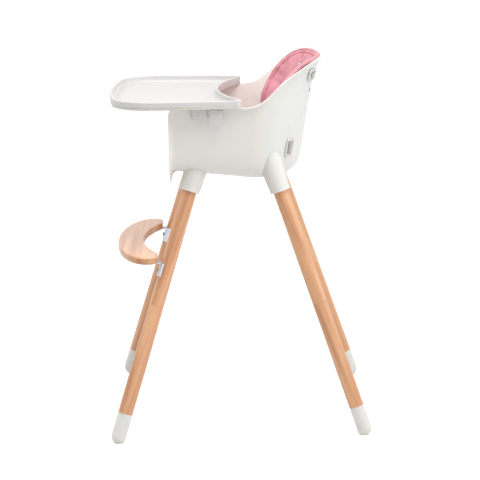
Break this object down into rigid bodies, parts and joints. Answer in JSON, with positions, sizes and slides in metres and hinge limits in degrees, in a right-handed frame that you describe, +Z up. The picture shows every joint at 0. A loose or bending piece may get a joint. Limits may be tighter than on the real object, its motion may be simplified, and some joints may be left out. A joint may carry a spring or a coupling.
{
  "type": "baby high chair",
  "caption": "Baby high chair: moulded bucket seat on splayed wooden legs, with a sliding tray, footrest board, quilted cushion and harness.",
  "frame": {"origin": "on the floor, under the middle of the overall box", "axes": "+Z up, -Y the way the chair faces, +X its left side"},
  "size_m": [0.604, 0.6328, 0.9047],
  "materials": {
    "white_plastic": "white satin moulding",
    "beech": "clear-lacquered beech",
    "pink_fabric": "coated pink fabric, quilted",
    "webbing": "grey woven webbing",
    "grey_plastic": "light grey moulding",
    "dark_plastic": "grey moulding",
    "sole_rubber": "cream rubber",
    "steel": "bright zinc-plated steel"
  },
  "bodies": {
    "chair": {"back_pad": "pink_fabric", "buckle": "grey_plastic", "buckle_tongue_left": "grey_plastic", "buckle_tongue_right": "grey_plastic", "crotch_retainer": "grey_plastic", "crotch_strap": "webbing", "foot_cap_front_left": "white_plastic", "foot_cap_front_right": "white_plastic", "foot_cap_rear_left": "white_plastic", "foot_cap_rear_right": "white_plastic", "foot_sole_front_left": "sole_rubber", "foot_sole_front_right": "sole_rubber", "foot_sole_rear_left": "sole_rubber", "foot_sole_rear_right": "sole_rubber", "footrest_board": "beech", "footrest_saddle_left": "steel", "footrest_saddle_right": "steel", "leg_bolts": "steel", "leg_front_left": "beech", "leg_front_right": "beech", "leg_inserts": "steel", "leg_rear_left": "beech", "leg_rear_right": "beech", "leg_socket_front_left": "white_plastic", "leg_socket_front_right": "white_plastic", "leg_socket_rear_left": "white_plastic", "leg_socket_rear_right": "white_plastic", "saddle_board_screws": "steel", "saddle_leg_screws": "steel", "seat_pad": "pink_fabric", "seat_shell": "white_plastic", "shoulder_retainer_left": "grey_plastic", "shoulder_retainer_right": "grey_plastic", "shoulder_strap_left": "webbing", "shoulder_strap_right": "webbing", "waist_retainer_left": "grey_plastic", "waist_retainer_right": "grey_plastic", "waist_strap_left": "webbing", "waist_strap_right": "webbing"},
    "tray": {"tray": "white_plastic", "tray_guide_left": "white_plastic", "tray_guide_right": "white_plastic", "lever_pin_left": "steel", "lever_pin_right": "steel"},
    "lever_left": {"tray_lever_left": "white_plastic"},
    "lever_right": {"tray_lever_right": "white_plastic"},
    "button": {"buckle_button": "dark_plastic"}
  },
  "joints": [
    {"name": "tray_slide", "type": "slide", "parent": "chair", "child": "tray", "axis": [0, -1, 0], "range_m": [0, 0.04]},
    {"name": "lever_left_hinge", "type": "hinge", "parent": "tray", "child": "lever_left", "pos_m": [0.21726, -0.054, 0.7963], "axis": [0, -1, 0], "range_deg": [0, 20], "stiffness_Nm_per_rad": 0.2, "springref_deg": -8.59},
    {"name": "lever_right_hinge", "type": "hinge", "parent": "tray", "child": "lever_right", "pos_m": [-0.21726, -0.054, 0.7963], "axis": [0, 1, 0], "range_deg": [0, 20], "stiffness_Nm_per_rad": 0.2, "springref_deg": -8.59},
    {"name": "button_press", "type": "slide", "parent": "chair", "child": "button", "axis": [0, 0.995, -0.1002], "range_m": [0, 0.0025], "stiffness_N_per_m": 400, "springref_m": -0.001}
  ]
}
